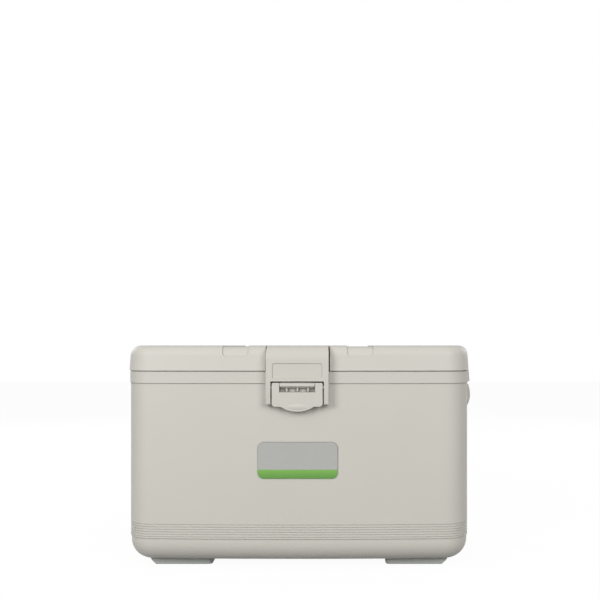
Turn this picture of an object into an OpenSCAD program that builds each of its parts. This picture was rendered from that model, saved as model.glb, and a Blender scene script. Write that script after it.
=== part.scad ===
// Insulated specimen transport box: a foam-filled case with a hinged lid, a front latch
// with a release lever, and a swinging carry handle on each side.
// Millimetres. The front faces -Y, +Z is up, and the origin is on the floor at mid width and depth.

/* [Case] */
// Width of the case below the rim
case_w = 480; // [450:5:520]
// Depth of the case below the rim, at the middle of the bowed faces
case_d = 290; // [270:5:330]
// Height of the outer shell, from its underside to the rim collar
shell_h = 249; // [220:1:290]
// Plan radius of the upright corners
corner_r = 38; // [37:1:44]
// How far the bowed front and rear faces stand out in the middle, past the corner centres
face_bow = 5; // [2:0.5:8]
// Radius of the rounded bottom edge
base_r = 28; // [24:1:30]
// Wall of the outer shell
shell_wall = 3.5; // [3:0.25:4]
// How far the plinth below the grooves is set in
plinth_inset = 1.2; // [0.5:0.1:2]

/* [Grooves] */
// Number of fine grooves round the case
groove_count = 6; // [3:1:9]
// Distance from one groove to the next
groove_pitch = 3.4; // [3:0.1:4]
// Height of the lowest groove above the shell's underside
groove_z = 35.6; // [33:0.1:45]
// Radius of the groove's round bottom
groove_r = 0.9; // [0.6:0.1:1.2]
// Depth of a groove
groove_depth = 0.7; // [0.4:0.1:0.9]

/* [Inner tub] */
// Width of the cold space
tub_w = 412; // [390:1:420]
// Depth of the cold space
tub_d = 222; // [200:1:228]
// Plan radius of the cold space's corners
tub_r = 26; // [18:1:32]
// Wall of the inner tub
tub_wall = 2.5; // [2:0.25:3]
// Thickness of the insulated floor
floor_t = 30; // [24:1:40]
// Radius of the tub's bottom edge
tub_base_r = 14; // [8:1:16]

/* [Rim collar] */
// Height of the rim collar
rim_h = 16.6; // [14:0.2:20]
// How far the collar stands proud of the case
rim_proud = 1; // [0.6:0.1:1.6]
// Thickness of the collar's skirt
rim_skirt = 3; // [2.8:0.1:3.4]
// Thickness of the collar's top deck
rim_deck = 3.5; // [2.5:0.25:4]
// Height of the shell's tongue inside the collar
tongue_h = 8; // [5:0.5:10]

/* [Lid] */
// Height of the lid shell
lid_h = 35.1; // [33:0.1:40]
// How far the lid stands proud of the case
lid_proud = 2.1; // [1.4:0.1:2.6]
// Gap between the lid and the rim collar
lid_gap = 0.8; // [0.6:0.1:1.5]
// Radius of the lid's top edge
lid_edge_r = 15; // [10:1:16]
// Draft of the lid's side over its height
lid_draft = 1.5; // [0.4:0.1:1.8]
// Wall of the lid shell
lid_wall = 3; // [2.5:0.25:3.5]
// Depth of the plug that reaches into the tub
plug_h = 14; // [8:1:20]
// Clearance between the plug and the tub
plug_gap = 3; // [2:0.5:5]
// Distance of each lid channel from the middle
channel_x = 86.5; // [75:0.5:100]
// Width of a lid channel
channel_w = 36; // [24:1:44]
// Depth of a lid channel
channel_depth = 1.5; // [0.8:0.1:2]
// Distance from the lid top down to a channel's lower end
channel_drop = 14.8; // [11:0.2:17]
// Width of the lid gasket
gasket_w = 6; // [4:0.5:7]
// Distance from the tub's opening to the gasket
gasket_inset = 5; // [4:0.5:6]

/* [Side ledges and handles] */
// How far a side ledge stands out at its lower lip
ledge_proud = 10; // [9:0.25:12]
// Length of a ledge at its outer face
ledge_l = 120; // [116:1:150]
// Length of a carry handle
handle_l = 112; // [104:1:114]
// How far a handle's crowned face stands out from the case
handle_proud = 11.5; // [11:0.25:12]
// Drop from the handle's pivot to the middle of its crown
handle_crown_drop = 12.4; // [11:0.2:14]
// Radius of the handle's crown
handle_crown_r = 36.5; // [30:0.5:50]
// Drop from the handle's pivot to the centre of its rounded foot
handle_foot_drop = 26.4; // [25:0.2:30]
// Length of a handle's arm along the case
handle_arm = 11.6; // [10:0.2:14]
// Height of the grip bar
grip_h = 14.4; // [12:0.2:17]
// Distance from the case to the handle's pivot
handle_axis_out = 5.5; // [5.25:0.05:6]
// Drop from the collar's lower edge to the handle's pivot
handle_axis_drop = 7.4; // [6.8:0.1:9]
// Radius of the handle's pivot pin
handle_pin_r = 2; // [1.5:0.1:2.2]

/* [Latch arm] */
// Width of the latch arm
arm_w = 86; // [80:1:92]
// How far the arm stands out from the middle of the case's front
arm_proud = 14; // [13.5:0.25:16]
// Length of the arm from the lid top down to its lower end
arm_drop = 81.7; // [78:0.1:86]
// Thickness of the arm's plates
arm_t = 3.6; // [3:0.1:4]
// Radius of the arm's bend over the lid edge
arm_bend_r = 20; // [16:1:22]
// Distance from the case's front to the arm's pivot
arm_axis_in = 45; // [42:1:60]
// Radius of the arm's hinge barrel
arm_barrel_r = 7; // [6:0.25:7.5]
// Radius of the arm's hinge pin
arm_pin_r = 2.5; // [2:0.1:3]
// How far the arm's sides curve in towards its top
arm_taper = 1.5; // [1.3:0.1:2]
// Height over which the arm's sides curve in
arm_taper_h = 12; // [11:0.5:13]
// Distance from the middle to each lug that carries the arm's pin
lug_in = 17; // [12:0.5:18]
// Width of each lug
lug_w = 10; // [6:0.5:12]
// Gap between the arm and the sides of the lid's notch
notch_gap = 1.5; // [1:0.1:2.5]
// Width of the arm's shallow front panel
panel_w = 68; // [50:1:70]
// Height of the arm's shallow front panel
panel_h = 20.7; // [16:0.1:22]
// Depth of the arm's shallow front panel
panel_depth = 1; // [0.4:0.1:1.4]
// Drop from the lid top to the top of the lever's opening
opening_drop = 49.3; // [48.5:0.1:50.5]
// Width of the lever's opening
opening_w = 73.2; // [70:0.2:76]

/* [Release lever] */
// Gap between the lever and the sides of its opening
lever_gap = 1.75; // [1:0.05:2.5]
// Height of the lever's straight part
lever_h = 32.8; // [30:0.2:36]
// Thickness of the lever's face
lever_t = 2.8; // [2.4:0.1:3.2]
// Depth of the lever, face to rim
lever_depth = 6; // [5:0.25:6.5]
// Corner radius at the lever's lower end
lever_corner_r = 4.8; // [3:0.2:7]
// Corner radius at the lever's top
lever_top_r = 2; // [1:0.1:2.4]
// Width of the finger lip
lip_w = 45.4; // [36:0.2:54]
// Drop of the finger lip below the lever
lip_drop = 6.7; // [4:0.1:8]
// How far the finger lip's swelling stands out from the lever
lip_proud = 1; // [0.4:0.1:2]
// Width of the window in the lever
window_w = 49; // [46:0.2:52]
// Depth of the window below the lever's top
window_h = 13; // [12:0.2:14]
// Radius of the lever's pivot pins
lever_pin_r = 2; // [1.5:0.1:2.2]

/* [Keeper] */
// Side gap between the keeper and the lever's window
keeper_gap = 0.5; // [0.3:0.05:1]
// Depth by which the hook reaches under the keeper's ledge
hook_reach = 3.5; // [2.5:0.25:4]
// Spacing of the keeper's ribs
keeper_pitch = 14.7; // [12:0.1:16]
// Thickness of a keeper rib
keeper_rib = 2.2; // [1.6:0.1:3]
// Height of the strike bar
bar_h = 8.1; // [7:0.1:8.5]
// Width of each screw wing beside the hook
wing_w = 9; // [8:0.5:9.5]

/* [Rear hinges] */
// Distance of each hinge from the middle
hinge_x = 130; // [110:1:160]
// Length of a hinge
hinge_l = 60; // [50:1:80]
// Distance from the case's rear to the hinge axis
hinge_out = 8; // [7.5:0.25:10]
// Radius of the hinge knuckles
knuckle_r = 5; // [4.5:0.25:5.5]
// Radius of the hinge pins
hinge_pin_r = 2; // [1.5:0.1:2.5]

/* [Feet and fasteners] */
// Height of the feet
foot_h = 9; // [6:0.5:14]
// Distance from the middle to a foot's inner end
foot_in = 123.5; // [100:0.5:140]
// Width of a foot
foot_d = 45; // [36:1:60]
// Distance from the case's front to a foot
foot_back = 33; // [32:1:45]
// Radius of the screw shanks
screw_r = 1.8; // [1.4:0.1:2]
// Radius of the screw heads
head_r = 3.6; // [3.2:0.1:4]
// Height of the screw heads
head_h = 2; // [1.6:0.1:2.4]
// Length of the screws that reach into the insulation
screw_l = 14; // [12:0.5:18]
// Length of the screws in thin walls
short_screw_l = 8; // [6:0.5:10]

/* [Badge] */
// Width of the blank badge
badge_w = 110; // [80:1:140]
// Height of the blank badge
badge_h = 50; // [36:1:60]
// Height of the badge's middle above the shell's underside
badge_z = 142.7; // [110:1:170]
// Thickness of the badge
badge_t = 1.6; // [1:0.1:3]
// Depth of the badge's pocket
badge_seat = 0.6; // [0.4:0.1:1]

/* [Clearances] */
// Gap round pieces that are fitted together without moving
seat_gap = 0.2; // [0.1:0.05:0.3]
// Gap between faces that pass each other
run_gap = 0.4; // [0.3:0.05:0.6]
// Radial clearance of a pin in its bore
pin_gap = 0.05; // [0.03:0.01:0.08]

/* [Hidden] */
$fn = 48;
// Fineness of the wide face arcs
face_fn = 256;
// Radius of the case's bowed faces
case_r = face_radius(case_w, corner_r, face_bow);
// Heights of the main levels
rim_z = foot_h + shell_h;
deck_z = rim_z + rim_h;
lid_z = deck_z + lid_gap;
top_z = lid_z + lid_h;
// Floor of the cold space
tub_z = foot_h + floor_t;
// Reach of the swept wall profiles inwards of the case outline
reach = corner_r - 4;
plinth_h = groove_z - 2;
// Latch arm planes and pivot
front_y = -case_d / 2;
arm_y = front_y - arm_proud;
arm_back_y = front_y - rim_proud - 1;
arm_axis_y = front_y + arm_axis_in;
arm_axis_z = top_z - arm_barrel_r;
arm_foot_z = top_z - arm_drop;
opening_z = top_z - opening_drop;
arm_leg = (arm_w - opening_w) / 2;
// Notch in the lid that takes the arm
notch_w = arm_w + 2 * notch_gap;
notch_z = top_z - 17;
notch_y = front_y + 14;
notch_back_y = arm_axis_y + arm_barrel_r + 0.8;
// Release lever planes and pivot
lever_w = opening_w - 2 * lever_gap;
lever_y = arm_y + 0.8;
lever_top_z = opening_z - 1.8;
lever_foot_z = lever_top_z - lever_h;
lever_axis_y = arm_y + 6;
lever_axis_z = lever_top_z - 5.9;
ear_r = 3.6;
sill_z = lever_top_z - window_h;
hook_z = sill_z - 4.4 - 0.3;
// Keeper: its ledge above the hook, and the strike bar above that
keeper_w = window_w - 2 * keeper_gap;
keeper_y = lever_y + lever_depth + run_gap;
keeper_web = 3;
web_y = front_y - seat_gap - keeper_web;
ledge_z = hook_z + 0.3;
ledge_h = 4.2;
bar_top = lever_top_z + 0.3;
bar_low = bar_top - bar_h;
hook_w = keeper_w - 4;
wing_x = hook_w / 2 + 0.6 + wing_w / 2;
wing_z = ledge_z - 10;
// Side handles
handle_z = rim_z - handle_axis_drop;
handle_x = case_w / 2 + handle_axis_out;
handle_hub_r = 4;
handle_back = 1.5;
handle_foot_r = 3.6;
ear_y = handle_l / 2 - handle_arm - run_gap;
ear_t = 4.9;
bracket_t = 2.5;
// Bores for the screws reach past their tips
bore_l = screw_l + 6;
// Rear hinges
hinge_y = case_d / 2 + hinge_out;
hinge_pad_h = 22;
hinge_z = deck_z + lid_gap / 2;
knuckle_l = 0.3 * hinge_l;
leaf_y = case_d / 2 + 4.5;
pad_y = case_d / 2 + 1;
foot_out = case_w / 2 - plinth_inset - base_r + 1;
foot_slope = 9;

// Outlines have bowed front and rear faces, straight sides and round corners. The corner
// centres lie at (cx, cy), and each face is an arc that touches its two corner arcs.
function face_radius(w, r, bow) = r + (pow(w / 2 - r, 2) + bow * bow) / (2 * bow);
function face_sag(x) = case_r - sqrt(case_r * case_r - x * x);

// Sweeps a profile round an outline. The profile has x = 0 on the outline, inwards negative.
module around(w, d, r, bow) {
    cx = w / 2 - r;
    cy = d / 2 - r - bow;
    b = face_radius(w, r, bow);
    turn = asin(cx / (b - r));
    for (mx = [0, 1], my = [0, 1])
        mirror([mx, 0, 0])
        mirror([0, my, 0]) {
            translate([cx, cy, 0])
            rotate_extrude(angle = 90 - turn, $fn = 72)
            translate([r, 0])
            children();
            mirror([1, 0, 0])
            translate([0, d / 2 - b, 0])
            rotate_extrude(start = 90, angle = turn, $fn = face_fn)
            translate([b, 0])
            children();
        }
    for (mx = [0, 1])
        mirror([mx, 0, 0])
        translate([cx, 0, 0])
        rotate([90, 0, 0])
        linear_extrude(2 * cy, center = true)
        translate([r, 0])
        children();
}

// The outline filled in, as a flat shape.
module plan(w, d, r, bow) {
    cx = w / 2 - r;
    cy = d / 2 - r - bow;
    b = face_radius(w, r, bow);
    meet_x = cx * b / (b - r);
    intersection() {
        square([2 * meet_x, d + 20], center = true);
        translate([0, d / 2 - b]) circle(b, $fn = face_fn);
        translate([0, b - d / 2]) circle(b, $fn = face_fn);
    }
    square([w, 2 * cy], center = true);
    for (sx = [-1, 1], sy = [-1, 1])
        translate([sx * cx, sy * cy])
        circle(r);
}

// The case outline grown by g, and profiles swept round it.
module case_plan(g) {
    plan(case_w + 2 * g, case_d + 2 * g, corner_r + g, face_bow);
}
module around_case() {
    around(case_w, case_d, corner_r, face_bow) children();
}

// The same for the inner tub, whose walls are straight.
module tub_plan(g) {
    cx = tub_w / 2 - tub_r;
    cy = tub_d / 2 - tub_r;
    square([tub_w + 2 * g, 2 * cy], center = true);
    square([2 * cx, tub_d + 2 * g], center = true);
    for (sx = [-1, 1], sy = [-1, 1])
        translate([sx * cx, sy * cy])
        circle(tub_r + g);
}
module around_tub() {
    cx = tub_w / 2 - tub_r;
    cy = tub_d / 2 - tub_r;
    for (mx = [0, 1], my = [0, 1])
        mirror([mx, 0, 0])
        mirror([0, my, 0])
        translate([cx, cy, 0])
        rotate_extrude(angle = 90, $fn = 72)
        translate([tub_r, 0])
        children();
    for (m = [0, 1]) {
        mirror([m, 0, 0]) translate([cx, 0, 0]) along_y(2 * cy) translate([tub_r, 0]) children();
        mirror([0, m, 0]) translate([0, cy, 0]) along_x(2 * cx) translate([tub_r, 0]) children();
    }
}

// Quarter of a disc that rounds an outer corner, turned by 90 degree steps.
module quarter(r, turn) {
    rotate(turn)
    intersection() {
        circle(r);
        square(r);
    }
}

// A profile drawn in Y and Z, extruded along X, and one drawn in X and Z, extruded along Y.
module along_x(l) {
    rotate([90, 0, 90]) linear_extrude(l, center = true) children();
}
module along_y(l) {
    rotate([90, 0, 0]) linear_extrude(l, center = true) children();
}

// Rectangle with corners rounded by true arcs. upper is the radius at the top, where it differs.
module rounded(w, h, r, upper = undef) {
    up = is_undef(upper) ? r : upper;
    translate([-w / 2, r - h / 2]) square([w, h - r - up]);
    translate([r - w / 2, -h / 2]) square([w - 2 * r, r]);
    translate([w / 2 - r, r - h / 2]) quarter(r, 270);
    translate([r - w / 2, r - h / 2]) quarter(r, 180);
    if (up > 0) {
        translate([up - w / 2, h / 2 - up]) square([w - 2 * up, up]);
        translate([w / 2 - up, h / 2 - up]) quarter(up, 0);
        translate([up - w / 2, h / 2 - up]) quarter(up, 90);
    }
}

// Pan-head screw along +Z, with its head above z = 0 and its shank below.
module screw(l, r = head_r) {
    translate([0, 0, -l]) cylinder(l + 0.5, r = screw_r);
    difference() {
        cylinder(head_h, r = r);
        translate([0, 0, head_h - 1]) cylinder(2, r = 1.5, $fn = 6);
    }
}

// Places of the fasteners, with +Z along each screw, out of the case.
module at_foot_screws() {
    for (sx = [-1, 1], sy = [-1, 1], e = [0.25, 0.75])
        translate([sx * (foot_in + e * (foot_out - foot_in - foot_slope)),
                   sy * (case_d / 2 - foot_back - foot_d / 2), 4])
        rotate([180, 0, 0])
        children();
}
module at_keeper_screws() {
    for (s = [-1, 1])
        translate([s * wing_x, web_y, wing_z + 5.5])
        rotate([90, 0, 0])
        children();
}
module at_handle_screws() {
    for (s = [-1, 1], e = [-1, 1])
        translate([s * (case_w / 2 + seat_gap + bracket_t), e * 0.22 * handle_l, handle_z - 3])
        rotate([0, s * 90, 0])
        children();
}
module at_hinge_base_screws() {
    for (s = [-1, 1], e = [-0.35, 0.35])
        translate([s * hinge_x + e * hinge_l, leaf_y, rim_z - 10])
        rotate([-90, 0, 0])
        children();
}
module at_hinge_leaf_screws() {
    for (s = [-1, 1], e = [-0.35, 0.35])
        translate([s * hinge_x + e * hinge_l, leaf_y, lid_z + 11])
        rotate([-90, 0, 0])
        children();
}
module at_bracket_screws() {
    for (s = [-1, 0, 1])
        translate([s * 29, arm_axis_y - 11, notch_z + 2])
        children();
}
module bore(l, r = screw_r) {
    translate([0, 0, -l]) cylinder(2 * l, r = r + pin_gap);
}

// Section of the case wall below the rim, set in by t, from the shell's underside up.
module skin_section(t, top) {
    in = plinth_inset + t;
    low_r = base_r - t;
    translate([-reach - 1, plinth_h]) square([reach + 1 - t, top - plinth_h]);
    translate([-reach - 1, base_r]) square([reach + 1 - in, plinth_h - base_r]);
    translate([-reach - 1, t]) square([reach + 1 - in - low_r, base_r - t]);
    translate([-in - low_r, base_r]) quarter(low_r, 270);
}

module shell_section() {
    tongue_out = rim_skirt - rim_proud + seat_gap;
    difference() {
        skin_section(0, shell_h + tongue_h);
        translate([-reach - 1, 0]) square([1, shell_h + tongue_h]);
        skin_section(shell_wall, shell_h + tongue_h + 1);
        translate([-tongue_out, shell_h - run_gap]) square([tongue_out + 1, tongue_h + 1]);
        for (i = [0 : groove_count - 1])
            translate([groove_r - groove_depth, groove_z + i * groove_pitch])
            circle(groove_r);
    }
}

module outer_shell() {
    color([0.80, 0.79, 0.75])
    difference() {
        translate([0, 0, foot_h]) {
            around_case() shell_section();
            linear_extrude(shell_wall) case_plan(3 - reach);
            at_hinge_pads() hinge_pad(4.6, shell_h - hinge_pad_h, shell_h);
        }
        badge_form(front_y + badge_seat, 5, seat_gap);
        at_foot_screws() bore(bore_l);
        at_keeper_screws() bore(bore_l);
        at_handle_screws() bore(bore_l);
        at_hinge_base_screws() bore(bore_l);
    }
}

// Section of the inner tub, grown by g, from its floor up to the height top.
module tub_section(g, top) {
    low_z = tub_z - g;
    low_r = tub_base_r + g;
    translate([6 - tub_r, low_z + low_r]) square([tub_r - 6 + g, top - low_z - low_r]);
    translate([6 - tub_r, low_z]) square([tub_r - 6 + g - low_r, low_r]);
    translate([g - low_r, low_z + low_r]) quarter(low_r, 270);
}

module inner_liner() {
    liner_top = deck_z - rim_deck - seat_gap;
    color([0.93, 0.93, 0.92])
    union() {
        around_tub()
        difference() {
            tub_section(tub_wall, liner_top);
            tub_section(0, liner_top + 1);
        }
        translate([0, 0, tub_z - tub_wall]) linear_extrude(tub_wall) tub_plan(8 - tub_r);
    }
}

module body_insulation() {
    color([0.95, 0.93, 0.85])
    difference() {
        translate([0, 0, foot_h]) {
            around_case()
            intersection() {
                skin_section(shell_wall + seat_gap, shell_h + rim_h - rim_deck - seat_gap);
                translate([-reach, 0]) square([reach - shell_wall - seat_gap, shell_h + rim_h]);
            }
            translate([0, 0, shell_wall + seat_gap])
            linear_extrude(shell_h + rim_h - rim_deck - shell_wall - 2 * seat_gap)
            case_plan(3 - reach);
        }
        around_tub() tub_section(tub_wall + seat_gap, deck_z);
        translate([0, 0, tub_z - tub_wall - seat_gap]) linear_extrude(deck_z - tub_z) tub_plan(8 - tub_r);
        at_foot_screws() bore(bore_l);
        at_keeper_screws() bore(bore_l);
        at_handle_screws() bore(bore_l);
        at_hinge_base_screws() bore(bore_l);
    }
}

// Plan of a side ledge on the right, set in by t, from root_x outwards.
module ledge_plan(t, root_x) {
    x0 = case_w / 2;
    half = ledge_l / 2 - t;
    root = half + ledge_proud + 2;
    polygon([
        [root_x, -root],
        [x0 + 0.5, -root],
        [x0 + ledge_proud + 1 - t, -half],
        [x0 + ledge_proud + 1 - t, half],
        [x0 + 0.5, root],
        [root_x, root]
    ]);
}

// Front view of the ledge on the right: it leans in from its lower lip to the lid's top edge.
function ledge_out(z) = ledge_proud - 0.09 * (z - rim_z);

module ledge_block(z0, z1, t) {
    x0 = case_w / 2;
    intersection() {
        translate([0, 0, z0 - 1]) linear_extrude(z1 - z0 + 2) ledge_plan(t, x0 - rim_proud);
        along_y(2 * ledge_l)
        polygon([
            [x0 - rim_skirt - 5, z0],
            [x0 + ledge_out(z0) - t, z0],
            [x0 + ledge_out(z1) - t, z1],
            [x0 - rim_skirt - 5, z1]
        ]);
    }
}

module rim_collar() {
    color([0.80, 0.79, 0.75])
    union() {
        difference() {
            union() {
                translate([0, 0, rim_z])
                around_case() {
                    translate([rim_proud - rim_skirt, 0]) square([rim_skirt, rim_h - 1]);
                    translate([rim_proud - rim_skirt, rim_h - 1]) square([rim_skirt - 1, 1]);
                    translate([rim_proud - 1, rim_h - 1]) quarter(1, 0);
                }
                for (m = [0, 1]) mirror([m, 0, 0]) ledge_block(rim_z, deck_z, 0);
                at_hinge_pads() hinge_pad(4, rim_z, deck_z - 2);
            }
            for (m = [0, 1]) mirror([m, 0, 0])
                difference() {
                    ledge_block(rim_z - 1, deck_z - rim_deck, 2.4);
                    translate([0, 0, rim_z - 2]) linear_extrude(rim_h) case_plan(rim_proud);
                }
            at_hinge_base_screws() bore(bore_l);
        }
        translate([0, 0, deck_z - rim_deck])
        linear_extrude(rim_deck)
        difference() {
            case_plan(rim_proud - 1.5);
            tub_plan(0);
        }
    }
}

module foot(sx, sy) {
    l = foot_out - foot_in;
    mirror([sx < 0 ? 1 : 0, 0, 0])
    mirror([0, sy > 0 ? 1 : 0, 0])
    difference() {
        intersection() {
            translate([foot_in + l / 2, front_y + foot_back + foot_d / 2, 0])
            linear_extrude(foot_h)
            rounded(l, foot_d, 6);
            along_y(2 * case_d)
            polygon([
                [foot_in, 0],
                [foot_out - foot_slope, 0],
                [foot_out, foot_h - 1],
                [foot_out, foot_h],
                [foot_in, foot_h]
            ]);
        }
        at_foot_screws() {
            bore(bore_l);
            cylinder(foot_h, r = head_r + 0.6);
        }
    }
}
module foot_front_left() { color([0.60, 0.61, 0.58]) foot(-1, -1); }
module foot_front_right() { color([0.60, 0.61, 0.58]) foot(1, -1); }
module foot_rear_left() { color([0.60, 0.61, 0.58]) foot(-1, 1); }
module foot_rear_right() { color([0.60, 0.61, 0.58]) foot(1, 1); }
module foot_screws() { color("silver") at_foot_screws() screw(screw_l - 2); }

// Keeper on the case front: a strike bar, three ribs and the ledge that the hook holds.
module latch_keeper() {
    back_y = front_y - seat_gap;
    bar_y = lever_y + 0.6;
    collar_y = front_y - rim_proud - 0.3;
    color([0.84, 0.83, 0.79])
    difference() {
        union() {
            along_x(keeper_w)
            polygon([
                [back_y, ledge_z], [keeper_y, ledge_z], [keeper_y, ledge_z + ledge_h],
                [web_y, ledge_z + ledge_h], [web_y, bar_low], [back_y - 7, bar_low],
                [bar_y, bar_low + 3], [bar_y, bar_top - 1], [bar_y + 1, bar_top],
                [collar_y, bar_top], [collar_y, rim_z - run_gap], [back_y, rim_z - run_gap]
            ]);
            for (i = [-1 : 1])
                translate([i * keeper_pitch, 0, 0])
                along_x(keeper_rib)
                translate([keeper_y - 1.5, sill_z + 0.5])
                square([6, bar_low - sill_z]);
            for (s = [-1, 1])
                translate([s * wing_x, back_y - keeper_web / 2, (wing_z + ledge_z + ledge_h) / 2])
                along_y(keeper_web)
                rounded(wing_w, ledge_z + ledge_h - wing_z, 2);
        }
        at_keeper_screws() bore(bore_l);
    }
}
module keeper_screws() { color("silver") at_keeper_screws() screw(screw_l, head_r - 0.7); }

// Blank badge: a plate with rounded corners in a flat, shallow pocket.
module badge_form(back_y, t, g) {
    translate([0, back_y - t / 2, foot_h + badge_z])
    along_y(t)
    rounded(badge_w + 2 * g, badge_h + 2 * g, 8 + g);
}
module badge_plate() {
    color([0.62, 0.64, 0.66])
    badge_form(front_y + badge_seat - seat_gap, badge_t, 0);
}

// Side view of a carry handle's closed form, x outwards from the case.
module handle_section() {
    intersection() {
        translate([handle_proud - handle_crown_r, handle_z - handle_crown_drop]) circle(handle_crown_r, $fn = 96);
        translate([handle_back, handle_z - handle_foot_drop]) square([20, handle_foot_drop]);
    }
    translate([handle_axis_out, handle_z]) circle(handle_hub_r);
    translate([handle_back + handle_foot_r, handle_z - handle_foot_drop]) circle(handle_foot_r);
}

module handle() {
    low = handle_z - handle_foot_drop - handle_foot_r;
    high = handle_z + handle_hub_r + 1;
    window = 2 * ear_y + 2 * run_gap;
    difference() {
        intersection() {
            translate([case_w / 2, 0, 0]) along_y(handle_l) handle_section();
            translate([handle_x, 0, (low + high) / 2]) along_x(60) rounded(handle_l, high - low, 9, upper = 0);
        }
        translate([handle_x, 0, low + grip_h + 30]) along_x(60) rounded(window, 60, 5, upper = 0);
        translate([handle_x, 0, handle_z])
        rotate([90, 0, 0])
        cylinder(2 * (ear_y + run_gap + 9), r = handle_pin_r + pin_gap, center = true);
    }
}
module right_handle() { color([0.78, 0.77, 0.73]) handle(); }
module left_handle() { color([0.78, 0.77, 0.73]) mirror([1, 0, 0]) handle(); }

module handle_bracket() {
    x0 = case_w / 2 + seat_gap;
    plate_low = handle_z - 11;
    difference() {
        union() {
            translate([x0 + bracket_t / 2, 0, (plate_low + rim_z - run_gap) / 2])
            along_x(bracket_t)
            rounded(2 * ear_y, rim_z - run_gap - plate_low, 3);
            for (s = [-1, 1])
                translate([0, s * (ear_y - ear_t / 2), 0])
                along_y(ear_t) {
                    translate([handle_x, handle_z]) circle(handle_hub_r);
                    translate([x0 + 1, handle_z - handle_hub_r]) square([handle_axis_out - 1, 2 * handle_hub_r]);
                }
        }
        at_handle_screws() bore(bore_l);
        translate([handle_x, 0, handle_z])
        rotate([90, 0, 0])
        cylinder(handle_l, r = handle_pin_r + pin_gap, center = true);
    }
}
module right_handle_bracket() { color([0.66, 0.66, 0.63]) handle_bracket(); }
module left_handle_bracket() { color([0.66, 0.66, 0.63]) mirror([1, 0, 0]) handle_bracket(); }
module handle_screws() { color("silver") at_handle_screws() screw(short_screw_l); }

module handle_pins() {
    for (s = [-1, 1])
        translate([handle_x, s * (ear_y - ear_t + 7), handle_z])
        rotate([90, 0, 0])
        cylinder(14, r = handle_pin_r, center = true);
}
module right_handle_pins() { color("silver") handle_pins(); }
module left_handle_pins() { color("silver") mirror([1, 0, 0]) handle_pins(); }

// Flat pads under the hinges, on the case and on the lid.
module at_hinge_pads() {
    for (s = [-1, 1]) translate([s * hinge_x, pad_y, 0]) children();
}
module hinge_pad(depth, low, high) {
    translate([0, -depth / 2, (low + high) / 2])
    along_y(depth)
    rounded(hinge_l + 6, high - low, 3, upper = 0);
}

// One hinge on the right, at hinge_x. up is 1 for the lid's leaf and -1 for the case's base.
module hinge_half(up) {
    part = up > 0 ? [0] : [-1, 1];
    l = up > 0 ? hinge_l - 2 * knuckle_l - 2 * run_gap : knuckle_l;
    low = up > 0 ? lid_z + 4 : rim_z - 19;
    high = up > 0 ? lid_z + 18 : rim_z + rim_h - 4;
    difference() {
        union() {
            translate([hinge_x, (leaf_y + pad_y + seat_gap) / 2, (low + high) / 2])
            along_y(leaf_y - pad_y - seat_gap)
            rounded(hinge_l, high - low, 3);
            for (p = part)
                translate([hinge_x + p * (hinge_l - knuckle_l) / 2, 0, 0])
                along_x(l) {
                    translate([hinge_y, hinge_z]) circle(knuckle_r);
                    translate([leaf_y - 2.5, up > 0 ? hinge_z : high - 6])
                    square([hinge_y + knuckle_r - leaf_y + 0.5, up > 0 ? low + 5 - hinge_z : hinge_z - high + 6]);
                }
        }
        translate([hinge_x, hinge_y, hinge_z])
        rotate([0, 90, 0])
        cylinder(2 * hinge_l, r = hinge_pin_r + pin_gap, center = true);
        at_hinge_base_screws() bore(bore_l);
        at_hinge_leaf_screws() bore(bore_l);
    }
}
module right_hinge_base() { color([0.74, 0.73, 0.69]) hinge_half(-1); }
module left_hinge_base() { color([0.74, 0.73, 0.69]) mirror([1, 0, 0]) hinge_half(-1); }
module right_hinge_leaf() { color([0.74, 0.73, 0.69]) hinge_half(1); }
module left_hinge_leaf() { color([0.74, 0.73, 0.69]) mirror([1, 0, 0]) hinge_half(1); }
module hinge_pin() {
    translate([hinge_x, hinge_y, hinge_z]) rotate([0, 90, 0]) cylinder(hinge_l - 1, r = hinge_pin_r, center = true);
}
module right_hinge_pin() { color("silver") hinge_pin(); }
module left_hinge_pin() { color("silver") mirror([1, 0, 0]) hinge_pin(); }
module hinge_base_screws() { color("silver") at_hinge_base_screws() screw(screw_l); }
module hinge_leaf_screws() { color("silver") at_hinge_leaf_screws() screw(screw_l); }

// Notch in the lid for the latch arm, grown by g.
module arm_notch(g) {
    along_x(notch_w + 2 * g)
    polygon([
        [front_y - 40, lid_z - 20],
        [notch_y + g, lid_z - 20],
        [notch_y + g, notch_z - 6 - g],
        [notch_y + g + 6, notch_z - g],
        [notch_back_y + g, notch_z - g],
        [notch_back_y + g, top_z + 20],
        [front_y - 40, top_z + 20]
    ]);
}

// Section of the lid, set in by t, with its top edge rounded. Its foot is at z = 0.
module lid_section(t) {
    r = lid_edge_r - t;
    lean = lid_draft + t;
    translate([0, lid_h - lid_edge_r]) {
        translate([-reach, 0]) square([reach + lid_proud - lean - r, r]);
        translate([lid_proud - lean - r, 0]) quarter(r, 0);
    }
    polygon([
        [-reach, -1],
        [lid_proud - t, -1],
        [lid_proud - t, 0],
        [lid_proud - lean, lid_h - lid_edge_r],
        [-reach, lid_h - lid_edge_r]
    ]);
}

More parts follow.
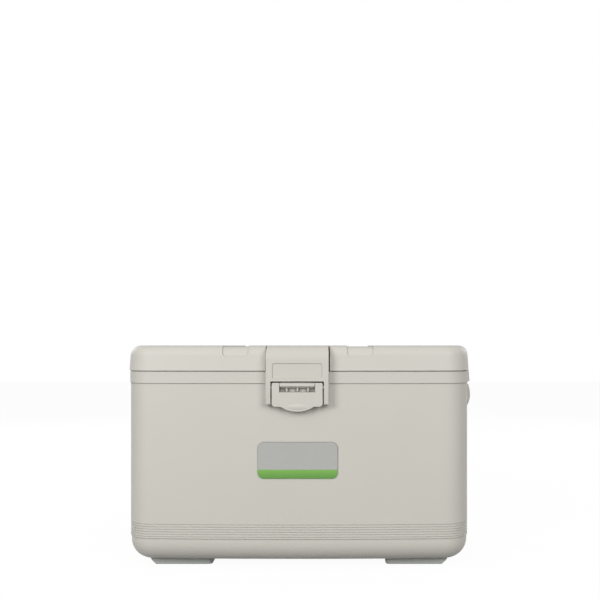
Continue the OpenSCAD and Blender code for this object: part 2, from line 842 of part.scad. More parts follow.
// Closed form of the lid, set in by t: the swept edge, the middle, and a swelling over each ledge.
module lid_form(t) {
    side_x = case_w / 2;
    intersection() {
        translate([-case_w, -case_d, lid_z]) cube([2 * case_w, 2 * case_d, lid_h + 1]);
        union() {
            translate([0, 0, lid_z]) around_case() lid_section(t);
            translate([0, 0, lid_z - 1]) linear_extrude(lid_h + 1 - t) case_plan(3 - reach);
            for (m = [0, 1]) mirror([m, 0, 0])
                intersection() {
                    translate([0, 0, lid_z - 1]) linear_extrude(lid_h + 2) ledge_plan(t, side_x - 12);
                    along_y(2 * ledge_l) {
                        polygon([
                            [side_x - 20, lid_z - 1],
                            [side_x + ledge_out(lid_z) - t, lid_z - 1],
                            [side_x + ledge_out(top_z - lid_edge_r) - t, top_z - lid_edge_r],
                            [side_x - 20, top_z - lid_edge_r]
                        ]);
                        translate([side_x + ledge_out(top_z - lid_edge_r) - lid_edge_r, top_z - lid_edge_r])
                        quarter(lid_edge_r - t, 0);
                        translate([side_x - 20, top_z - lid_edge_r])
                        square([20 + ledge_out(top_z - lid_edge_r) - lid_edge_r, lid_edge_r - t]);
                    }
                }
        }
    }
}

// What the two shallow channels take off the lid.
module lid_channels() {
    difference() {
        for (s = [-1, 1])
            translate([s * channel_x, 0, top_z - channel_drop + 15])
            along_y(2 * case_d)
            rounded(channel_w, 30, 5.5, upper = 0);
        lid_form(channel_depth);
    }
}

module lid_shell() {
    color([0.82, 0.81, 0.77])
    difference() {
        union() {
            lid_form(0);
            at_hinge_pads() hinge_pad(12, lid_z, lid_z + hinge_pad_h - 1);
        }
        difference() {
            union() {
                lid_form(lid_wall);
                translate([0, 0, lid_z - 1]) linear_extrude(6) case_plan(lid_proud - lid_wall);
            }
            arm_notch(lid_wall);
        }
        lid_channels();
        arm_notch(0);
        at_bracket_screws() bore(5);
        at_hinge_leaf_screws() bore(bore_l);
    }
}

// The plug below the lid, grown by g.
module plug_form(g) {
    translate([0, 0, lid_z + 0.5 - plug_h])
    linear_extrude(plug_h + 1)
    tub_plan(g - plug_gap);
}

module lid_inner_panel() {
    color([0.93, 0.93, 0.92])
    difference() {
        union() {
            translate([0, 0, lid_z + 0.5])
            linear_extrude(tub_wall)
            case_plan(lid_proud - lid_wall - lid_draft - seat_gap);
            plug_form(0);
        }
        difference() {
            translate([0, 0, tub_wall]) plug_form(-tub_wall);
            translate([0, 0, lid_z - plug_h - 10]) linear_extrude(10.5 + tub_wall) tub_plan(0);
        }
        arm_notch(lid_wall + seat_gap);
    }
}

module lid_insulation() {
    color([0.95, 0.93, 0.85])
    difference() {
        union() {
            intersection() {
                lid_form(lid_wall + seat_gap);
                translate([-case_w, -case_d, lid_z + 0.5 + tub_wall + seat_gap]) cube([2 * case_w, 2 * case_d, lid_h]);
            }
            translate([0, 0, tub_wall + seat_gap]) plug_form(-tub_wall - seat_gap);
        }
        arm_notch(lid_wall + seat_gap);
        lid_channels_room();
        at_bracket_screws() bore(5);
        at_hinge_leaf_screws() bore(bore_l);
    }
}

// Room that the channels and side swellings need above the foam.
module lid_channels_room() {
    translate([-case_w, -case_d, top_z - lid_wall - channel_depth]) cube([2 * case_w, 2 * case_d, 20]);
}

module lid_gasket() {
    color([0.25, 0.25, 0.26])
    translate([0, 0, deck_z + 0.3])
    linear_extrude(lid_z + 0.5 - deck_z - 0.4)
    difference() {
        tub_plan(gasket_inset + gasket_w);
        tub_plan(gasket_inset);
    }
}

// Two lugs on a plate in the lid's notch carry the arm's pin.
module latch_bracket() {
    color([0.74, 0.73, 0.69])
    difference() {
        union() {
            translate([5 - arm_w / 2, arm_axis_y - 17, notch_z + seat_gap / 2])
            cube([arm_w - 10, arm_barrel_r + 16, 2]);
            for (s = [-1, 1])
                translate([s * (lug_in + lug_w / 2), 0, 0])
                along_x(lug_w) {
                    translate([arm_axis_y, arm_axis_z]) circle(arm_barrel_r - 0.2);
                    translate([arm_axis_y - 4.5, notch_z + 1]) square([9, arm_axis_z - notch_z - 1]);
                }
        }
        at_bracket_screws() bore(5);
        translate([0, arm_axis_y, arm_axis_z])
        rotate([0, 90, 0])
        cylinder(arm_w, r = arm_pin_r + pin_gap, center = true);
    }
}
module latch_bracket_screws() { color("silver") at_bracket_screws() translate([0, 0, seat_gap / 2]) screw(4); }
module latch_arm_pin() {
    color("silver")
    translate([0, arm_axis_y, arm_axis_z])
    rotate([0, 90, 0])
    cylinder(arm_w - 6, r = arm_pin_r, center = true);
}

// Side view of the arm, y and z: its outer form set in by t, with cheeks of depth deep.
module arm_side(t, deep) {
    bend_y = arm_y + arm_bend_r;
    bend_z = top_z - arm_bend_r;
    translate([bend_y, bend_z]) quarter(arm_bend_r - t, 90);
    translate([bend_y, top_z - deep]) square([arm_axis_y - bend_y, deep - t]);
    translate([arm_y + t, arm_foot_z]) square([deep - t, bend_z - arm_foot_z]);
}

// The room inside the arm, between its cheeks.
module arm_hollow() {
    bend_y = arm_y + arm_bend_r;
    bend_z = top_z - arm_bend_r;
    low = arm_foot_z - 1;
    translate([arm_y + arm_t, low]) square([arm_bend_r - arm_t, bend_z - low]);
    translate([bend_y, bend_z]) quarter(arm_bend_r - arm_t, 90);
    translate([bend_y, low]) square([arm_axis_y - arm_barrel_r - 2 - bend_y, top_z - arm_t - low]);
}

// Front view of the arm, with sides that curve in towards the top.
module arm_front() {
    r = (arm_taper_h * arm_taper_h + arm_taper * arm_taper) / (2 * arm_taper);
    bend = top_z - arm_taper_h;
    translate([-arm_w / 2, arm_foot_z - 5]) square([arm_w, bend - arm_foot_z + 5]);
    for (m = [0, 1])
        mirror([m, 0])
        intersection() {
            translate([arm_w / 2 - r, bend]) circle(r, $fn = 96);
            translate([-1, bend]) square([arm_w / 2 + 2, arm_taper_h + 5]);
        }
}

module latch_arm() {
    color([0.81, 0.80, 0.76])
    difference() {
        union() {
            difference() {
                intersection() {
                    union() {
                        along_x(arm_w + 4) arm_side(0, arm_back_y - arm_y);
                        translate([0, arm_axis_y, arm_axis_z])
                        rotate([0, 90, 0])
                        cylinder(arm_w + 4, r = arm_barrel_r, center = true);
                    }
                    translate([0, front_y, 0]) along_y(2 * case_d) arm_front();
                }
                along_x(opening_w) arm_hollow();
            }
            for (s = [-1, 0, 1])
                translate([s * 22, 0, 0])
                along_x(2)
                translate([arm_y + 2, opening_z])
                square([7, top_z - arm_bend_r - opening_z + 4]);
        }
        // Recessed panel
        translate([0, arm_y, opening_z + 4 + panel_h / 2])
        along_y(2 * panel_depth)
        rounded(panel_w, panel_h, 2.5);
        // Opening for the release lever
        translate([-opening_w / 2, arm_y - 1, arm_foot_z - 1])
        cube([opening_w, arm_proud, opening_z - arm_foot_z + 1]);
        // Room for the lugs and the pin
        for (s = [-1, 1])
            translate([s * (lug_in + lug_w / 2), arm_axis_y, arm_axis_z])
            rotate([0, 90, 0])
            cylinder(lug_w + 2 * run_gap, r = arm_barrel_r + 1, center = true);
        translate([0, arm_axis_y, arm_axis_z])
        rotate([0, 90, 0])
        cylinder(arm_w - 5, r = arm_pin_r + pin_gap, center = true);
        translate([0, lever_axis_y, lever_axis_z])
        rotate([0, 90, 0])
        cylinder(arm_w - 3, r = lever_pin_r + pin_gap, center = true);
    }
}

// Front view of the lever.
module lever_front() {
    lip_r = (pow(lip_w / 2, 2) + pow(lip_drop, 2)) / (2 * lip_drop);
    difference() {
        union() {
            translate([0, (lever_top_z + lever_foot_z) / 2]) rounded(lever_w, lever_h, lever_corner_r, upper = lever_top_r);
            intersection() {
                translate([0, lever_foot_z - lip_drop + lip_r]) circle(lip_r, $fn = 96);
                translate([-lip_w / 2, lever_foot_z - lip_drop - 1]) square([lip_w, lip_drop + 4]);
            }
        }
        translate([-window_w / 2, sill_z]) square([window_w, window_h + 1]);
    }
}

// Swelling of the finger lip: an arc turned about an axis behind the face.
module lip_swell() {
    rise = 8;
    half = 40;
    arc_r = (half * half + rise * rise) / (2 * rise);
    intersection() {
        translate([0, lever_y + rise - lip_proud, lever_foot_z - 0.2])
        rotate([0, 90, 0])
        rotate_extrude($fn = 72)
        intersection() {
            translate([rise - arc_r, 0]) circle(arc_r, $fn = 96);
            translate([0, -half - 1]) square([rise + 1, 2 * half + 2]);
        }
        translate([-30, lever_y - 5, lever_foot_z - 10]) cube([60, 5 + lever_t - 0.3, 20]);
    }
}

module latch_lever() {
    ear_w = (lever_w - window_w) / 2;
    color([0.81, 0.80, 0.76])
    difference() {
        union() {
            difference() {
                intersection() {
                    union() {
                        translate([-lever_w, lever_y, lever_foot_z - 20]) cube([2 * lever_w, lever_depth, lever_h + 40]);
                        lip_swell();
                    }
                    translate([0, lever_y, 0]) along_y(40) lever_front();
                }
                translate([0, lever_y + lever_t + 10, (sill_z + lever_foot_z) / 2])
                along_y(20)
                rounded(lever_w - 4.4, sill_z - lever_foot_z - 4, 3);
                translate([-lip_w, lever_y + lever_t + 1, lever_foot_z - lip_drop - 1]) cube([2 * lip_w, 20, lip_drop + 3]);
                for (s = [-1, 1])
                    translate([s * (window_w / 2 + ear_w / 2), lever_y + lever_t + 10, lever_top_z])
                    cube([ear_w + 2, 20, 2 * (window_h - 2)], center = true);
            }
            // Pivot ears
            for (s = [-1, 1])
                translate([s * (window_w / 2 + ear_w / 2 + 0.4), 0, 0])
                along_x(ear_w - 1.6) {
                    translate([lever_axis_y, lever_axis_z]) circle(ear_r);
                    translate([lever_y + 1, lever_axis_z - ear_r])
                    square([lever_axis_y - lever_y - 1, 2 * ear_r]);
                }
            // Hook below the window
            along_x(hook_w)
            polygon([
                [lever_y + lever_t - 0.5, hook_z - 6],
                [keeper_y - 1, hook_z - 6],
                [keeper_y + hook_reach, hook_z - 2.5],
                [keeper_y + hook_reach, hook_z],
                [keeper_y - 1, hook_z],
                [keeper_y - 1, hook_z - 1],
                [lever_y + lever_t - 0.5, hook_z - 1]
            ]);
        }
        // Eased top edge, so that the ears clear the arm as they turn
        translate([0, lever_y - 1, lever_top_z])
        rotate([45, 0, 0])
        cube([2 * lever_w, 2.6, 2.6], center = true);
        translate([0, lever_axis_y, lever_axis_z])
        rotate([0, 90, 0])
        cylinder(2 * lever_w, r = lever_pin_r + pin_gap, center = true);
    }
}

module lever_pins() {
    inner = window_w / 2 + 1.5;
    outer = arm_w / 2 - 1.5;
    color("silver")
    for (s = [-1, 1])
        translate([s * (inner + outer) / 2, lever_axis_y, lever_axis_z])
        rotate([0, 90, 0])
        cylinder(outer - inner, r = lever_pin_r, center = true);
}

// Leaf springs behind the ears, held at the arm's front plate.
module lever_springs() {
    strip = 0.5;
    y0 = arm_y + arm_t + 0.2;
    color([0.70, 0.71, 0.73])
    for (s = [-1, 1])
        translate([s * (window_w + lever_w) / 4, 0, 0])
        along_x(7)
        polygon([
            [y0, opening_z + 13], [y0, opening_z + 4], [y0 + 3.6, opening_z + 1],
            [lever_y + lever_t + 0.5, lever_top_z - 1.2], [lever_y + lever_t + 1, lever_top_z - 1.4],
            [y0 + 3.6 + 1.4 * strip, opening_z + 1], [y0 + strip, opening_z + 4.4],
            [y0 + strip, opening_z + 13]
        ]);
}

outer_shell();
body_insulation();
inner_liner();
rim_collar();
foot_front_left();
foot_front_right();
foot_rear_left();
foot_rear_right();
foot_screws();
latch_keeper();
keeper_screws();
badge_plate();
left_handle_bracket();
right_handle_bracket();
handle_screws();
left_handle_pins();
right_handle_pins();
left_handle();
right_handle();
left_hinge_base();
right_hinge_base();
left_hinge_leaf();
right_hinge_leaf();
left_hinge_pin();
right_hinge_pin();
hinge_base_screws();
hinge_leaf_screws();
lid_shell();
lid_insulation();
lid_inner_panel();
lid_gasket();
latch_bracket();
latch_bracket_screws();
latch_arm_pin();
latch_arm();
latch_lever();
lever_pins();
lever_springs();
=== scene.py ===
# %% [markdown]
# # A specimen transport box
#
# This lesson dresses an insulated transport box: a foam-filled case with a hinged lid, a front
# latch with a release lever, and a swinging carry handle on each side. The solids come from a
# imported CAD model. Blender gives them their finishes, and adds the small things that a moulding
# has and a plain solid lacks. Every length is in metres, the front faces -Y and +Z is up.

# %% Load the frame
import math

import bmesh
import bpy
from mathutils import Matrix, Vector


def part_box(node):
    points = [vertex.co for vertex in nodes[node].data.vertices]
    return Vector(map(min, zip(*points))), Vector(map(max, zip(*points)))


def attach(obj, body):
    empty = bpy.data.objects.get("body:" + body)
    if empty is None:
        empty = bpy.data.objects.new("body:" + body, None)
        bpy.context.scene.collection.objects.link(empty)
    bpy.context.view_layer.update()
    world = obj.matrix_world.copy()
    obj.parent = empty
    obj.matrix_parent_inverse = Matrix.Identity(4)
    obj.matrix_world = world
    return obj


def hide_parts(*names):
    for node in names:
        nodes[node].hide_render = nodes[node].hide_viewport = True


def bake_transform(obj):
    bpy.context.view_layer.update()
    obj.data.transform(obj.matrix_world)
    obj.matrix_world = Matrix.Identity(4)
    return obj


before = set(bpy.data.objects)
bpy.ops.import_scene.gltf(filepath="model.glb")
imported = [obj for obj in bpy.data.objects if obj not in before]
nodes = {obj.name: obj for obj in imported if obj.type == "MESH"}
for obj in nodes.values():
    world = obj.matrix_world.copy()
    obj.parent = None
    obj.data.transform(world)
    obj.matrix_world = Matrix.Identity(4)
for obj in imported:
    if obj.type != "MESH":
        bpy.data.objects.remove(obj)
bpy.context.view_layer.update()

# %% [markdown]
# ## Writing shader maths
#
# A material in Blender is a graph of nodes. Maths that would take five Math nodes is easier to
# read as an expression, so one small class wraps a node's output and adds a Math node for each
# sign in an expression. The class below it holds one material, and its add method makes any other
# node from its type, its settings and what goes into its sockets. Five short methods on top of it
# name what every finish here needs: a place to read, a noise, a mix of two colours, a ramp from 0
# to 1 between two values, and a relief that tilts the normal.

# %% Value and Finish
class Value:
    """One output of a shader node, which can be added, multiplied and so on."""

    def __init__(self, finish, socket):
        self.finish = finish
        self.socket = socket

    def maths(self, operation, a, b):
        return self.finish.add("ShaderNodeMath", {"operation": operation}, {0: a, 1: b})

    def __add__(self, other):
        return self.maths("ADD", self, other)

    def __radd__(self, other):
        return self.maths("ADD", other, self)

    def __sub__(self, other):
        return self.maths("SUBTRACT", self, other)

    def __rsub__(self, other):
        return self.maths("SUBTRACT", other, self)

    def __mul__(self, other):
        return self.maths("MULTIPLY", self, other)

    def __rmul__(self, other):
        return self.maths("MULTIPLY", other, self)


class Finish:
    """A material with one Principled shader, whose fixed values are set on its own sockets."""

    def __init__(self, name, fixed):
        self.material = bpy.data.materials.new(name)
        self.material.use_nodes = True
        self.tree = self.material.node_tree
        self.shader = self.tree.nodes["Principled BSDF"]
        for socket, value in fixed.items():
            self.shader.inputs[socket].default_value = value

    def add(self, kind, settings, inputs, output=0):
        node = self.tree.nodes.new(kind)
        for name, value in settings.items():
            setattr(node, name, value)
        for key, value in inputs.items():
            self.plug(node.inputs[key], value)
        return Value(self, node.outputs[output])

    def plug(self, socket, value):
        if isinstance(value, Value):
            self.tree.links.new(value.socket, socket)
        else:
            socket.default_value = value

    def shade(self, socket, value):
        self.plug(self.shader.inputs[socket], value)

    def place(self):
        return self.add("ShaderNodeTexCoord", {}, {}, "Object")

    def noise(self, where, scale, detail, roughness=0.5):
        sockets = {"Vector": where, "Scale": scale, "Detail": detail, "Roughness": roughness}
        return self.add("ShaderNodeTexNoise", {}, sockets)

    def between(self, factor, first, second):
        return self.add("ShaderNodeMix", {"data_type": "RGBA"}, {0: factor, 6: first, 7: second}, 2)

    def ramp(self, value, low, high):
        return self.add("ShaderNodeMapRange", {}, {"Value": value, "From Min": low, "From Max": high})

    def relief(self, strength, distance, height):
        sockets = {"Strength": strength, "Distance": distance, "Height": height}
        self.shade("Normal", self.add("ShaderNodeBump", {}, sockets))


def grey(level):
    return (level, level, level, 1.0)


print("shader helpers ready")

# %% [markdown]
# ## Moulded plastic
#
# The case, lid and latch are injection moulded in a pale, slightly warm grey. The mould is spark
# eroded, which leaves a fine pebble grain on the part: too fine to see as bumps from a step away,
# but it is what makes the gloss soft. The grain could be modelled, but a bump from two noise
# patterns in object coordinates costs nothing and has the right size in millimetres. A slow third
# noise shifts the colour by a percent or two, as real resin does.
#
# No moulding has knife edges. Rounding every edge of the mesh would add a great many faces, so the
# Bevel node rounds them in the shading alone: it turns the normal near an edge, over the radius it
# is given. Where the turned normal differs from the true one there is an edge, and handling has
# polished it there, so the same difference makes the edge a little smoother and paler. Grooves,
# corners and recesses get painted shade: the Ambient Occlusion node tells how closed in a point
# is, and a little of a darker grey is mixed in there.

# %% The moulded finish
PEBBLE_SCALE = 1100.0
EDGE_RADIUS = 0.0009


def moulded(name, colour, roughness, grain, drift=0.03, cavity=0.0015, painted_shade=0.35):
    finish = Finish(name, {"Specular IOR Level": 0.42, "IOR": 1.49})
    place = finish.place()
    rounded = finish.add("ShaderNodeBevel", {"samples": 6}, {"Radius": EDGE_RADIUS})
    true = finish.add("ShaderNodeNewGeometry", {}, {}, "True Normal")
    turned = {0: rounded, 1: true}
    facing = finish.add("ShaderNodeVectorMath", {"operation": "DOT_PRODUCT"}, turned, "Value")
    worn = finish.ramp(1.0 - facing, 0.02, 0.25)
    fine = finish.noise(place, PEBBLE_SCALE, 3.0, 0.6)
    pebbles = {"Vector": place, "Scale": PEBBLE_SCALE * 0.8}
    coarse = finish.add("ShaderNodeTexVoronoi", {}, pebbles)
    slow = finish.noise(place, 9.0, 4.0)
    dark = tuple(c * (1.0 - drift) for c in colour) + (1.0,)
    pale = tuple(min(1.0, c * (1.0 + drift)) for c in colour) + (1.0,)
    rubbed = tuple(c * 0.94 + 0.05 for c in colour) + (1.0,)
    # Painted shade: this darker grey is mixed into grooves, corners and recesses.
    painted_shade_colour = tuple(c * 0.45 for c in colour) + (1.0,)
    reach = {"Distance": cavity}
    openness = finish.add("ShaderNodeAmbientOcclusion", {"samples": 6}, reach, "AO")
    painted_shade_mask = finish.ramp(openness, 0.95, 0.35)
    tone = finish.between(slow * 0.8 + fine * 0.2, dark, pale)
    polished = finish.between(worn * 0.6, tone, rubbed)
    # The painted shade in hollows goes into the base colour here.
    finish.shade("Base Color", finish.between(painted_shade_mask * painted_shade, polished, painted_shade_colour))
    unevenness = (slow - 0.5) * 0.12 + (fine - 0.5) * 0.10
    finish.shade("Roughness", roughness - worn * 0.10 + unevenness)
    height = fine * 0.6 + coarse * 0.4
    relief = {"Strength": grain, "Distance": 0.00012, "Height": height, "Normal": rounded}
    finish.shade("Normal", finish.add("ShaderNodeBump", {}, relief))
    return finish.material


# The last two settings on the case and the keeper give the reach and strength of the painted shade in their
# grooves and recess.
case_grey = moulded("case_grey", (0.640, 0.617, 0.560), 0.50, 0.30, cavity=0.003, painted_shade=0.6)
lid_grey = moulded("lid_grey", (0.652, 0.630, 0.574), 0.50, 0.28)
latch_grey = moulded("latch_grey", (0.640, 0.615, 0.555), 0.50, 0.16)
handle_grey = moulded("handle_grey", (0.600, 0.580, 0.530), 0.48, 0.25)
bracket_grey = moulded("bracket_grey", (0.450, 0.440, 0.410), 0.50, 0.25)
foot_grey = moulded("foot_grey", (0.430, 0.445, 0.415), 0.62, 0.45)
keeper_grey = moulded("keeper_grey", (0.650, 0.630, 0.575), 0.42, 0.12, cavity=0.004, painted_shade=0.9)
liner_white = moulded("liner_white", (0.830, 0.830, 0.815), 0.30, 0.08, 0.012)
mouldings = (case_grey, lid_grey, latch_grey, handle_grey, bracket_grey, foot_grey, keeper_grey)
print("moulded finishes:", [m.name for m in mouldings] + [liner_white.name])

# %% [markdown]
# ## Foam, rubber and metal
#
# The foam in the walls is a mass of closed cells, which a Voronoi pattern gives directly. The
# gasket is soft extruded rubber with fine lines along it. Pins and screws are steel: turned pins
# carry rings round them, and screw heads are plated and a little dull.

# %% Foam, gasket and steel
def foam(name):
    finish = Finish(name, {"Specular IOR Level": 0.25, "Roughness": 0.9})
    place = finish.place()
    cell_size = {"Vector": place, "Scale": 700.0}
    cells = finish.add("ShaderNodeTexVoronoi", {"feature": "DISTANCE_TO_EDGE"}, cell_size)
    slow = finish.noise(place, 25.0, 3.0)
    finish.shade("Base Color", finish.between(slow, (0.78, 0.70, 0.50, 1), (0.86, 0.80, 0.62, 1)))
    finish.relief(0.6, 0.0004, cells * 8.0)
    return finish.material


def soft_rubber(name):
    finish = Finish(name, {"Specular IOR Level": 0.3})
    place = finish.place()
    fine = finish.noise(place, 900.0, 2.0)
    ridges = {"Vector": place, "Scale": 400.0, "Distortion": 0.5}
    lines = finish.add("ShaderNodeTexWave", {"bands_direction": "Z"}, ridges)
    finish.shade("Base Color", finish.between(fine, grey(0.035), grey(0.060)))
    finish.shade("Roughness", 0.6 + fine * 0.2)
    finish.relief(0.4, 0.0002, lines * 0.5 + fine)
    return finish.material


def steel(name, tint, roughness, axis):
    finish = Finish(name, {"Metallic": 1.0})
    place = finish.place()
    stretch = [1.0, 1.0, 1.0]
    stretch[axis] = 14.0
    drawn = finish.add("ShaderNodeMapping", {}, {"Vector": place, "Scale": stretch})
    marks = finish.noise(drawn, 260.0, 4.0, 0.7)
    slow = finish.noise(place, 60.0, 2.0)
    finish.shade("Base Color", finish.between(marks, grey(tint * 0.88), grey(tint)))
    finish.shade("Roughness", roughness + (marks - 0.5) * 0.2 + (slow - 0.5) * 0.1)
    finish.relief(0.2, 0.00008, marks)
    return finish.material


foam_cream = foam("foam_cream")
gasket_black = soft_rubber("gasket_black")
pin_steel = steel("pin_steel", 0.62, 0.28, 0)
handle_pin_steel = steel("handle_pin_steel", 0.62, 0.28, 1)
screw_steel = steel("screw_steel", 0.50, 0.36, 2)
spring_steel = steel("spring_steel", 0.58, 0.25, 2)
print("foam, rubber and steel ready")

# %% [markdown]
# ## The blank badge
#
# A shallow pocket in the front holds a plate. It bears nothing here: satin metal with a fine
# brushed grain across it, a band of green enamel along its foot, and a thin clear coat over both.
# The band's edge is a height in object coordinates, so it needs no picture and no extra faces.

# %% The badge finish
def brushed_plate(name, band_low, band_high):
    finish = Finish(name, {"Coat Weight": 0.25, "Coat Roughness": 0.15})
    place = finish.place()
    drawn = finish.add("ShaderNodeMapping", {}, {"Vector": place, "Scale": (1.0, 1.0, 24.0)})
    marks = finish.noise(drawn, 90.0, 5.0, 0.65)
    metal = finish.between(marks, (0.40, 0.40, 0.385, 1), (0.52, 0.52, 0.50, 1))
    height = finish.add("ShaderNodeSeparateXYZ", {}, {0: place}, "Z")
    soft_edge = 0.0003
    band = finish.ramp(height, band_high, band_high - soft_edge)
    rise = finish.ramp(height, band_low, band_high)
    green = finish.between(rise, (0.10, 0.30, 0.045, 1), (0.22, 0.48, 0.09, 1))
    finish.shade("Base Color", finish.between(band, metal, green))
    finish.shade("Metallic", (0.35 + marks * 0.2) * (1.0 - band))
    finish.shade("Roughness", 0.36 + (marks - 0.5) * 0.25 * (1.0 - band))
    finish.relief(0.5, 0.0001, marks * 0.15 + (1.0 - band))
    return finish.material


badge_low, badge_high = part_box("badge_plate")
band_top = badge_low[2] + 0.25 * (badge_high[2] - badge_low[2])
badge_satin = brushed_plate("badge_satin", badge_low[2], band_top)
print("badge finish ready")

# %% [markdown]
# ## Dressing the solids
#
# A solid whose shape is already right keeps its mesh and only takes a finish. The table below
# says which finish each solid gets.

# %% Finishes on the solids
finish_of = {
    case_grey: ["outer_shell", "rim_collar"],
    lid_grey: ["lid_shell"],
    latch_grey: ["latch_arm", "latch_lever"],
    keeper_grey: ["latch_keeper"],
    handle_grey: ["left_handle", "right_handle"],
    bracket_grey: ["left_handle_bracket", "right_handle_bracket", "latch_bracket", "left_hinge_base",
                   "right_hinge_base", "left_hinge_leaf", "right_hinge_leaf"],
    foot_grey: ["foot_front_left", "foot_front_right", "foot_rear_left", "foot_rear_right"],
    liner_white: ["inner_liner", "lid_inner_panel"],
    foam_cream: ["body_insulation", "lid_insulation"],
    gasket_black: ["lid_gasket"],
    pin_steel: ["left_hinge_pin", "right_hinge_pin", "latch_arm_pin", "lever_pins"],
    handle_pin_steel: ["left_handle_pins", "right_handle_pins"],
    screw_steel: ["foot_screws", "keeper_screws", "handle_screws", "hinge_base_screws",
                  "hinge_leaf_screws", "latch_bracket_screws"],
    spring_steel: ["lever_springs"],
    badge_satin: ["badge_plate"],
}
for material, names in finish_of.items():
    for name in names:
        nodes[name].data.materials.clear()
        nodes[name].data.materials.append(material)
dressed = [name for names in finish_of.values() for name in names]
print("dressed:", len(dressed), "left over:", sorted(set(nodes) - set(dressed)))

# %% [markdown]
# ## Working on a copy of a solid
#
# The mesh of a solid is never changed, so where a shape needs more, a copy of it is worked on and
# stands for it. A solid comes as loose triangles: the copy's doubles are merged and its flat faces
# joined, so that an operator finds whole faces and shared edges. The copy still holds the solid's
# stored normals, which no longer fit, so they are removed, and every edge that turns by more than
# 25 degrees is kept sharp.

# %% Helpers for new pieces
MERGE_DISTANCE = 0.00001
FLAT_ANGLE = math.radians(0.05)
SHARP_ANGLE = math.radians(25)


def place_piece(name, mesh, material, body):
    mesh.materials.append(material)
    piece = bpy.data.objects.new(name, mesh)
    bpy.context.scene.collection.objects.link(piece)
    if body:
        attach(piece, body)
    return piece


def merged_copy(node):
    shape = bmesh.new()
    shape.from_mesh(nodes[node].data)
    bmesh.ops.remove_doubles(shape, verts=shape.verts, dist=MERGE_DISTANCE)
    bmesh.ops.dissolve_limit(shape, angle_limit=FLAT_ANGLE, verts=shape.verts, edges=shape.edges)
    return shape


def finished_mesh(name, shape):
    mesh = bpy.data.meshes.new(name)
    shape.to_mesh(mesh)
    shape.free()
    stored = mesh.attributes.get("custom_normal")
    if stored:
        mesh.attributes.remove(stored)
    mesh.set_sharp_from_angle(angle=SHARP_ANGLE)
    return mesh


print("helpers for new pieces ready")

# %% [markdown]
# ## Easing the latch arm's ends
#
# The two legs of the latch arm are rounded where their front meets their foot, so that a hand that
# slides down the latch finds no sharp corner. A bevel modifier would round every edge of the arm;
# the bmesh bevel works on just the edges that a test picks out.

# %% The eased latch arm
def softened(name, node, body, material, picks, width, segments):
    shape = merged_copy(node)
    chosen = [edge for edge in shape.edges if picks(*[v.co for v in edge.verts])]
    bmesh.ops.bevel(shape, geom=chosen, offset=width, offset_type="OFFSET", affect="EDGES",
                    segments=segments, profile=0.5, material=-1)
    mesh = finished_mesh(name, shape)
    print(name, "edges eased:", len(chosen), "faces:", len(mesh.polygons))
    piece = place_piece(name, mesh, material, body)
    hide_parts(node)
    return piece


arm_low, arm_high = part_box("latch_arm")


NEAR = 0.0001
EASED_BY = 0.0032


def foot_edge(a, b):
    at_foot = max(a.z, b.z) < arm_low[2] + NEAR
    at_front = max(a.y, b.y) < arm_low[1] + NEAR
    return at_foot and at_front


softened("latch_arm_eased", "latch_arm", "latch_arm", latch_grey, foot_edge, EASED_BY, 3)

# %% [markdown]
# ## Leaf springs cut across
#
# Two leaf springs behind the lever push it shut. Their upper ends are held by the arm and their
# tips rest on the lever, so they have to bend when the lever is pulled. Each leaf is cut across at
# many heights with bisect_plane, which gives it points along its length.

# %% Leaf springs cut across
def bending_springs():
    shape = merged_copy("lever_springs")
    low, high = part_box("lever_springs")
    cuts = 24
    for step in range(1, cuts):
        height = low[2] + (high[2] - low[2]) * step / cuts
        everything = shape.verts[:] + shape.edges[:] + shape.faces[:]
        bmesh.ops.bisect_plane(shape, geom=everything, dist=0.000001,
                               plane_co=(0, 0, height), plane_no=(0, 0, 1))
    mesh = finished_mesh("lever_springs_bending", shape)
    piece = place_piece("lever_springs_bending", mesh, spring_steel, None)
    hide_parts("lever_springs")
    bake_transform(piece)
    print("spring faces:", len(mesh.polygons))


bending_springs()

# %% [markdown]
# ## Side linings of the lid
#
# Over each side ledge the lid swells outwards, and the foam would show from below once the lid is
# open. A moulded strip closes each swelling. A grid of one face gives its outline, a little shorter
# on the outside, solidify gives it thickness, and bevel rounds its long edges. The left strip is
# the right one with x turned round, so its normals are worked out again.

# %% Lining strips
def lining_strip(name, side):
    lid_low, lid_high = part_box("lid_shell")
    inner = 0.2375
    outer = lid_high[0] - 0.0034
    outer_half = 0.0585
    inner_half = outer_half + 0.0085
    above_seam = 0.0012
    thickness = 0.0026
    rounding = 0.0006
    shape = bmesh.new()
    bmesh.ops.create_grid(shape, x_segments=1, y_segments=1, size=1.0)
    for vert in shape.verts:
        out = vert.co.x > 0
        vert.co.y *= outer_half if out else inner_half
        vert.co.x = outer if out else inner
        vert.co.z = lid_low[2] + above_seam
    bmesh.ops.solidify(shape, geom=shape.faces[:], thickness=-thickness)
    long_edges = [edge for edge in shape.edges if edge.calc_length() > 0.01]
    bmesh.ops.bevel(shape, geom=long_edges, offset=rounding, offset_type="OFFSET", affect="EDGES",
                    segments=3, profile=0.5, material=-1)
    if side < 0:
        bmesh.ops.scale(shape, vec=(-1, 1, 1), verts=shape.verts)
    bmesh.ops.recalc_face_normals(shape, faces=shape.faces)
    mesh = finished_mesh(name, shape)
    print(name, "lies at x", round(inner * 1000, 1), "to", round(outer * 1000, 1), "mm")
    return place_piece(name, mesh, liner_white, "lid")


lining_strip("left_lid_lining", -1)
lining_strip("right_lid_lining", 1)

# %% [markdown]
# ## Floor and light
#
# The box stands on a pale floor in front of nothing but white. Seen by the camera and in
# reflections, floor and surroundings are white; for the light that bounces about, the floor is a
# dim grey, so that the underside of the box stays darker, as it does in a studio. The floor still
# takes the box's shadow. Two soft square lamps stand in front, the left one a little stronger,
# and hang low, at about 25 degrees, so that the top gets no more light than the front. A weak one
# hangs above, two more light the sides and the back, and the surroundings give the rest.

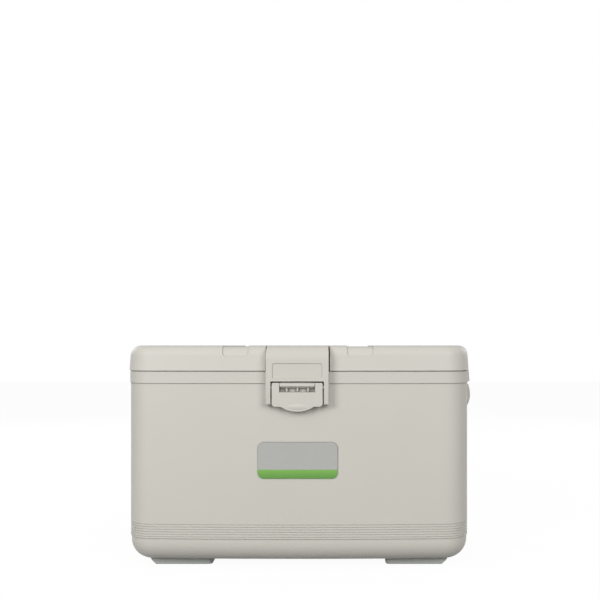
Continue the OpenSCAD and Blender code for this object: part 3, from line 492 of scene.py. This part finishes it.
# %% Floor
def studio_floor():
    mesh = bpy.data.meshes.new("studio_floor")
    shape = bmesh.new()
    bmesh.ops.create_grid(shape, x_segments=1, y_segments=1, size=6.0)
    shape.to_mesh(mesh)
    shape.free()
    floor = bpy.data.objects.new("studio_floor", mesh)
    bpy.context.scene.collection.objects.link(floor)
    finish = Finish("studio_floor", {"Base Color": grey(0.22), "Roughness": 0.9, "Specular IOR Level": 0.1})
    path = "ShaderNodeLightPath"
    seen = finish.add(path, {}, {}, "Is Camera Ray") + finish.add(path, {}, {}, "Is Glossy Ray")
    seen = seen + finish.add(path, {}, {}, "Is Transmission Ray")
    glow = finish.add("ShaderNodeEmission", {}, {"Color": grey(1.0), "Strength": 1.27})
    own = Value(finish, finish.shader.outputs[0])
    mixed = finish.add("ShaderNodeMixShader", {}, {0: seen * 0.75, 1: own, 2: glow})
    finish.plug(finish.tree.nodes["Material Output"].inputs["Surface"], mixed)
    mesh.materials.append(finish.material)
    return floor


studio_floor()
print("floor laid")

# %% Surroundings
def surroundings(strength):
    world = bpy.data.worlds.new("studio")
    bpy.context.scene.world = world
    world.use_nodes = True
    tree = world.node_tree
    background = tree.nodes["Background"]
    path = tree.nodes.new("ShaderNodeLightPath")
    add = tree.nodes.new("ShaderNodeMath")
    add.operation = "MAXIMUM"
    tree.links.new(path.outputs["Is Camera Ray"], add.inputs[0])
    tree.links.new(path.outputs["Is Transmission Ray"], add.inputs[1])
    blend = tree.nodes.new("ShaderNodeMix")
    blend.inputs[2].default_value = strength
    blend.inputs[3].default_value = 1.0
    tree.links.new(add.outputs[0], blend.inputs[0])
    tree.links.new(blend.outputs[0], background.inputs["Strength"])
    background.inputs["Color"].default_value = grey(1.0)


surroundings(0.36)
print("surroundings set")


# %% Lamps
def lamp(name, place, target, size, power):
    light = bpy.data.lights.new(name, "AREA")
    light.shape = "RECTANGLE"
    light.size = size[0]
    light.size_y = size[1]
    light.energy = power
    holder = bpy.data.objects.new(name, light)
    holder.location = place
    holder.rotation_euler = (Vector(target) - Vector(place)).to_track_quat("-Z", "Y").to_euler()
    bpy.context.scene.collection.objects.link(holder)
    return holder


lamp("soft_left", (-1.15, -1.70, 0.9), (0, 0, 0.18), (0.9, 0.9), 20)
lamp("soft_right", (0.95, -1.75, 0.9), (0, 0, 0.18), (0.9, 0.9), 15)
lamp("soft_top", (0.1, 0.2, 2.0), (0, 0, 0.3), (1.8, 1.8), 3)
lamp("soft_back_left", (-1.5, 1.6, 0.9), (0, 0, 0.15), (0.9, 0.9), 10)
lamp("soft_back_right", (1.5, 1.6, 0.9), (0, 0, 0.15), (0.9, 0.9), 10)

# %% [markdown]
# ## The camera
#
# The photograph was taken from straight in front, a little right of the middle and level with
# the lid, and the box was then placed low in a square picture. A lens shift gives that: the
# camera stays level, so the upright edges stay upright.

# %% Camera
def photographs_camera():
    eye = bpy.data.cameras.new("camera")
    eye.sensor_width = 36.0
    eye.lens = 50.37
    eye.shift_x = -0.0733
    eye.shift_y = 0.0772
    eye.clip_start = 0.01
    holder = bpy.data.objects.new("camera", eye)
    holder.location = (0.064, -1.305, 0.310)
    holder.rotation_euler = (math.pi / 2, 0, 0)
    bpy.context.scene.collection.objects.link(holder)
    bpy.context.scene.camera = holder
    return holder


photographs_camera()
bpy.context.scene.view_settings.view_transform = "Standard"
print("camera set")

# %% Finish
print("scene ready")
